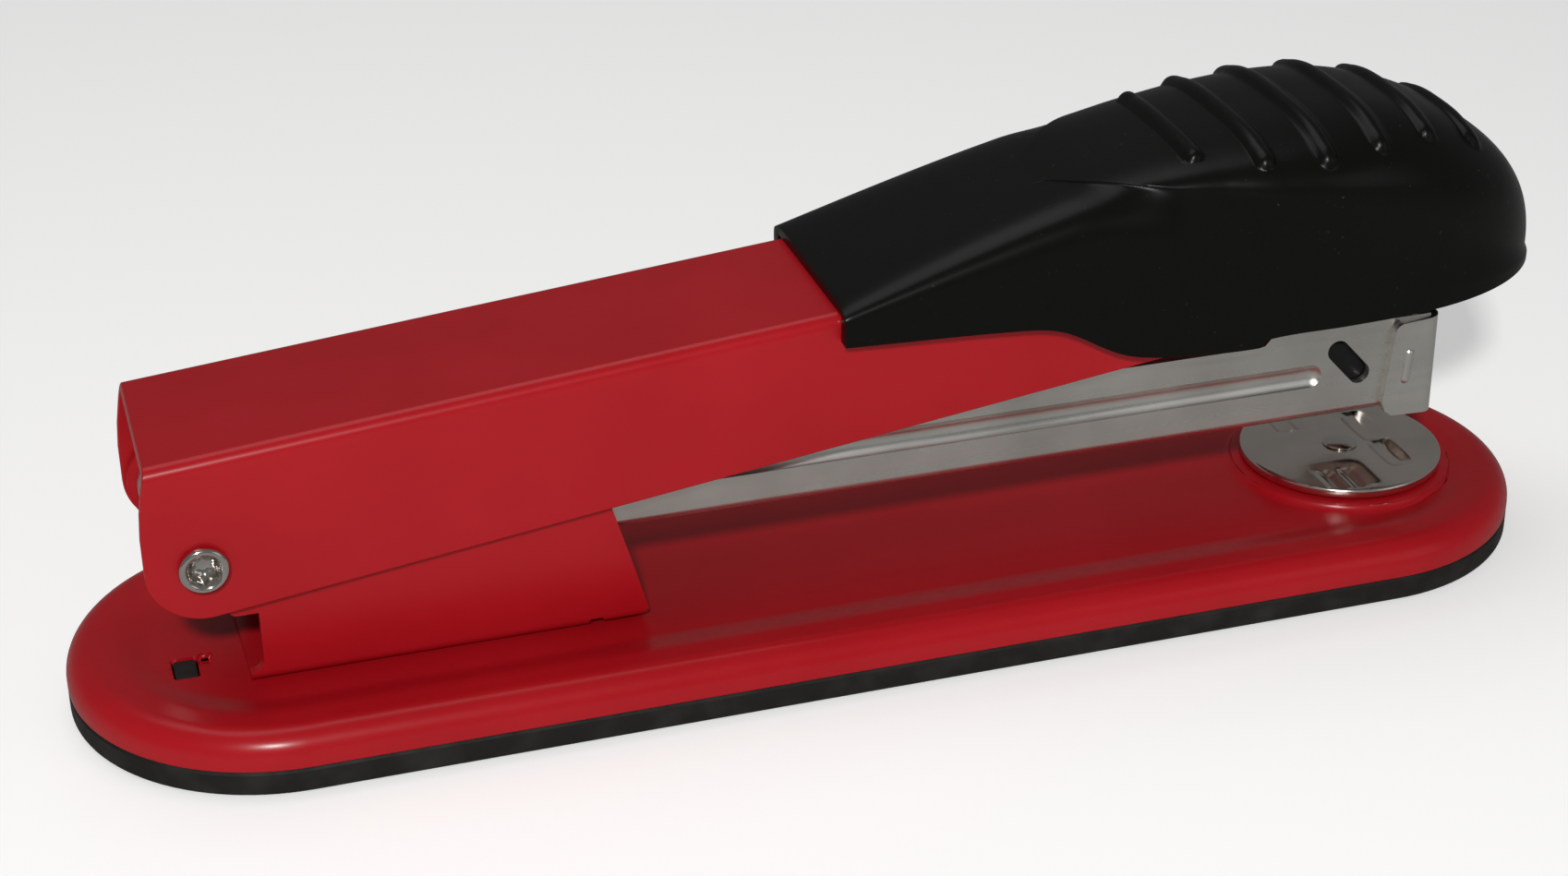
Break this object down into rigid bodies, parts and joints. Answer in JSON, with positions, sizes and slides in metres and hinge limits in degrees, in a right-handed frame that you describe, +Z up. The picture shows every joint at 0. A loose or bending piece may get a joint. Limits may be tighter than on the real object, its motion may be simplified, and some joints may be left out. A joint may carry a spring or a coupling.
{
  "type": "stapler",
  "caption": "Desk stapler with a folded metal arm, a pivoting staple magazine, a round turning anvil and a ribbed moulded grip cap.",
  "frame": {"origin": "centre of the rubber pad's underside, where the stapler stands on a desk", "axes": "+X to the anvil and nose end, +Z up, +Y to the left of someone looking along +X"},
  "size_m": [0.1509, 0.0404, 0.0488],
  "materials": {
    "red_paint": "semi-gloss enamel",
    "pad_rubber": "matte moulded rubber",
    "magazine_steel": "drawn, lightly brushed",
    "spring_steel": "plain zinc-plated",
    "chrome": "polished",
    "anvil_chrome": "polished",
    "grip_plastic": "fine satin grain",
    "black_plastic": "smooth moulded"
  },
  "bodies": {
    "root": {"base_plate": "red_paint", "base_pad": "pad_rubber", "bracket": "red_paint", "bracket_rivets": "spring_steel", "magazine_spring": "spring_steel", "pivot_rivet": "chrome", "anvil_spring": "spring_steel"},
    "anvil_post": {"anvil_post": "chrome", "anvil_button": "spring_steel"},
    "anvil": {"anvil_disc": "anvil_chrome"},
    "magazine": {"magazine": "magazine_steel", "nose_plate": "magazine_steel", "staple_rail": "magazine_steel", "rail_rivets": "spring_steel", "guide_rod": "spring_steel", "rod_clip": "spring_steel", "follower_spring": "spring_steel"},
    "follower": {"follower": "black_plastic"},
    "arm": {"arm": "red_paint", "driver_blade": "spring_steel", "arm_spring": "spring_steel", "driver_rivets": "spring_steel", "grip_cap": "grip_plastic"}
  },
  "joints": [
    {"name": "magazine_hinge", "type": "hinge", "parent": "root", "child": "magazine", "pos_m": [-0.0618, 0, 0.0192], "axis": [0, -1, 0], "range_deg": [-3, 75], "stiffness_Nm_per_rad": 0.6, "springref_deg": 7.45, "deforming": ["magazine_spring"]},
    {"name": "arm_hinge", "type": "hinge", "parent": "magazine", "child": "arm", "pos_m": [-0.0618, 0, 0.0192], "axis": [0, -1, 0], "range_deg": [-3.7, 95], "stiffness_Nm_per_rad": 0.5, "springref_deg": 4.58, "deforming": ["arm_spring"]},
    {"name": "follower_slide", "type": "slide", "parent": "magazine", "child": "follower", "axis": [-1, 0, 0], "range_m": [0, 0.088], "stiffness_N_per_m": 20, "springref_m": -0.06, "deforming": ["follower_spring"]},
    {"name": "anvil_lift", "type": "slide", "parent": "root", "child": "anvil_post", "axis": [0, 0, 1], "range_m": [0, 0.0014], "stiffness_N_per_m": 300, "springref_m": -0.003, "deforming": ["anvil_spring"]},
    {"name": "anvil_turn", "type": "hinge", "parent": "anvil_post", "child": "anvil", "pos_m": [0.0577, 0, 0.00694], "axis": [0, 0, 1], "continuous": true}
  ]
}
